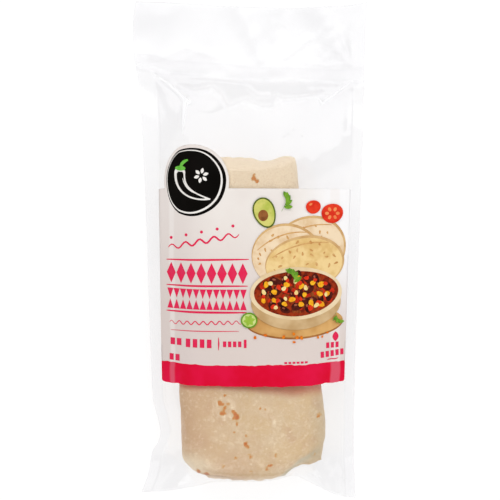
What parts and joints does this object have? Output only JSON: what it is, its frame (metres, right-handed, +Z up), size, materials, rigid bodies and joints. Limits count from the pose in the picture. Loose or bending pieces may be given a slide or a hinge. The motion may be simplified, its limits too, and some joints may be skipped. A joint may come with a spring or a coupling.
{
  "type": "burrito in a clear pouch",
  "caption": "Flour-tortilla burrito sealed in a clear film pouch with heat-sealed sides, a cross seal under an open mouth, and a wide die-cut label with a round badge across its front.",
  "frame": {"origin": "on the surface that the pack lies on, under the middle of its bounding box", "axes": "+Z up, out of the front that carries the label; +Y along the pack, from its folded bottom end to its mouth; +X to the right as the front is seen"},
  "size_m": [0.1108, 0.238, 0.0298],
  "materials": {
    "film": "clear glossy film, drawn with the tone of the tortilla that shows through it",
    "label": "smooth printed label stock under a thin gloss varnish",
    "tortilla": "soft, floury wheat tortilla with small toasted spots",
    "ink": "smooth printed ink"
  },
  "bodies": {
    "root": {"bag": "film", "label": "label"}
  },
  "joints": []
}
